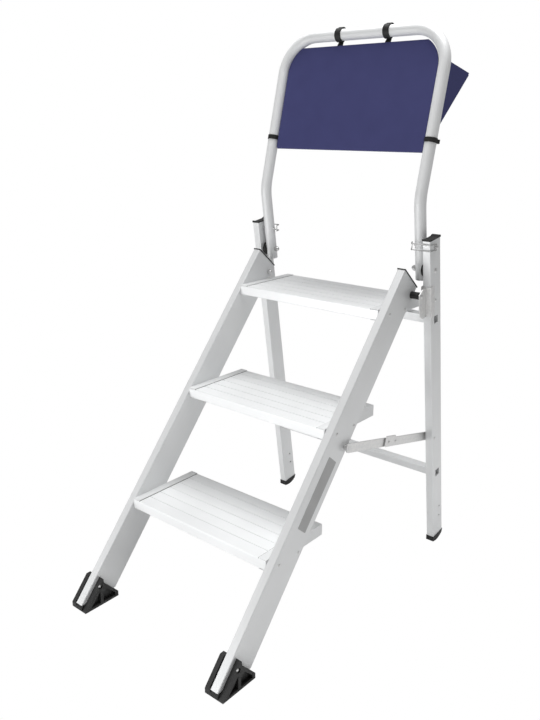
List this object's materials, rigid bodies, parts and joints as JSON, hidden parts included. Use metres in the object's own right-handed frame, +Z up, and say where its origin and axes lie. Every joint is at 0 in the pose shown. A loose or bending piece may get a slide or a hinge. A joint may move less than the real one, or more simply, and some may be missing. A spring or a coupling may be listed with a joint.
{
  "type": "folding step ladder",
  "caption": "Folding platform step ladder with wide ribbed treads, box-section stiles, a guard hoop locked by pins and a V-shaped tool bin hung on the hoop.",
  "frame": {"origin": "on the floor, in the middle of the ladder's overall width and length when it stands open", "axes": "+Z up, +X to the right of a user who climbs the treads, +Y from the front feet towards the rear legs"},
  "size_m": [0.561, 0.9174, 1.3391],
  "materials": {
    "aluminium": "satin",
    "black_plastic": "matte",
    "bin_plastic": "satin",
    "zinc_steel": "satin"
  },
  "bodies": {
    "front_frame": {"stile_right": "aluminium", "stile_left": "aluminium", "stile_cap_right": "black_plastic", "stile_cap_left": "black_plastic", "front_foot_right": "black_plastic", "front_foot_left": "black_plastic", "tread_1": "aluminium", "tread_end_1_right": "aluminium", "tread_end_1_left": "aluminium", "tread_2": "aluminium", "tread_end_2_right": "aluminium", "tread_end_2_left": "aluminium", "tread_3": "aluminium", "tread_end_3_right": "aluminium", "tread_end_3_left": "aluminium", "tread_rivets": "zinc_steel", "front_foot_rivets": "zinc_steel", "hinge_bolt_right": "zinc_steel", "hinge_bolt_left": "zinc_steel", "hinge_bush_right": "black_plastic", "hinge_bush_left": "black_plastic", "hinge_nuts": "zinc_steel", "stay_bolts": "zinc_steel", "stay_spacers": "zinc_steel"},
    "tool_bin": {"bin_board": "bin_plastic", "bin_back": "bin_plastic", "bin_end_right": "bin_plastic", "bin_end_left": "bin_plastic", "bin_hook_right": "black_plastic", "bin_hook_left": "black_plastic"},
    "stay_front_left": {"stay_front_bar_left": "zinc_steel"},
    "stay_rear_left": {"stay_rear_bar_left": "zinc_steel", "knuckle_rivets_left": "zinc_steel"},
    "lock_pin_left": {"lock_pin_left": "zinc_steel"},
    "lock_wire_left": {"lock_wire_left": "zinc_steel"},
    "stay_front_right": {"stay_front_bar_right": "zinc_steel"},
    "stay_rear_right": {"stay_rear_bar_right": "zinc_steel", "knuckle_rivets_right": "zinc_steel"},
    "lock_pin_right": {"lock_pin_right": "zinc_steel"},
    "lock_wire_right": {"lock_wire_right": "zinc_steel"},
    "rear_frame": {"rear_leg_right": "aluminium", "rear_leg_left": "aluminium", "lower_crossbar": "aluminium", "upper_crossbar": "aluminium", "leg_cap_right": "black_plastic", "leg_cap_left": "black_plastic", "rear_foot_right": "black_plastic", "rear_foot_left": "black_plastic", "hinge_bracket_right": "zinc_steel", "hinge_bracket_left": "zinc_steel", "hinge_bracket_rivets": "zinc_steel", "stay_leg_rivets": "zinc_steel", "guard_hoop": "aluminium", "hoop_bolts": "zinc_steel", "dome_nuts": "zinc_steel", "hoop_spacer_right": "black_plastic", "hoop_spacer_left": "black_plastic", "bin_strap_right": "black_plastic", "bin_strap_left": "black_plastic"}
  },
  "joints": [
    {"name": "rear_frame_fold", "type": "hinge", "parent": "front_frame", "child": "rear_frame", "pos_m": [0, 0.23095, 0.718], "axis": [-1, 0, 0], "range_deg": [0, 49]},
    {"name": "tool_bin_swing", "type": "hinge", "parent": "rear_frame", "child": "tool_bin", "pos_m": [0, 0.3413, 1.32047], "axis": [1, 0, 0], "range_deg": [0, 60]},
    {"name": "stay_front_left_fold", "type": "hinge", "parent": "front_frame", "child": "stay_front_left", "pos_m": [-0.2437, -0.03098, 0.411], "axis": [1, 0, 0], "range_deg": [0, 105.05]},
    {"name": "stay_rear_left_fold", "type": "hinge", "parent": "rear_frame", "child": "stay_rear_left", "pos_m": [-0.2472, 0.32494, 0.325], "axis": [-1, 0, 0], "range_deg": [0, 18.55]},
    {"name": "lock_pin_left_pull", "type": "slide", "parent": "rear_frame", "child": "lock_pin_left", "axis": [-1, 0, 0], "range_m": [0, 0.0376]},
    {"name": "lock_wire_left_swing", "type": "hinge", "parent": "lock_pin_left", "child": "lock_wire_left", "pos_m": [-0.2765, 0.26103, 0.833], "axis": [0, 0, 1], "range_deg": [0, 170]},
    {"name": "stay_front_right_fold", "type": "hinge", "parent": "front_frame", "child": "stay_front_right", "pos_m": [0.2437, -0.03098, 0.411], "axis": [1, 0, 0], "range_deg": [0, 105.05]},
    {"name": "stay_rear_right_fold", "type": "hinge", "parent": "rear_frame", "child": "stay_rear_right", "pos_m": [0.2472, 0.32494, 0.325], "axis": [-1, 0, 0], "range_deg": [0, 18.55]},
    {"name": "lock_pin_right_pull", "type": "slide", "parent": "rear_frame", "child": "lock_pin_right", "axis": [1, 0, 0], "range_m": [0, 0.0376]},
    {"name": "lock_wire_right_swing", "type": "hinge", "parent": "lock_pin_right", "child": "lock_wire_right", "pos_m": [0.2765, 0.26103, 0.833], "axis": [0, 0, 1], "range_deg": [0, 170]}
  ],
  "couplings": [
    {"joint": "stay_front_left_fold", "follows": "rear_frame_fold", "ratio": 2.1398},
    {"joint": "stay_rear_left_fold", "follows": "rear_frame_fold", "ratio": 0.37439},
    {"joint": "lock_pin_left_pull", "follows": "lock_wire_left_swing", "m_per_rad": 0.012639},
    {"joint": "stay_front_right_fold", "follows": "rear_frame_fold", "ratio": 2.1398},
    {"joint": "stay_rear_right_fold", "follows": "rear_frame_fold", "ratio": 0.37439},
    {"joint": "lock_pin_right_pull", "follows": "lock_wire_right_swing", "m_per_rad": 0.012639}
  ]
}
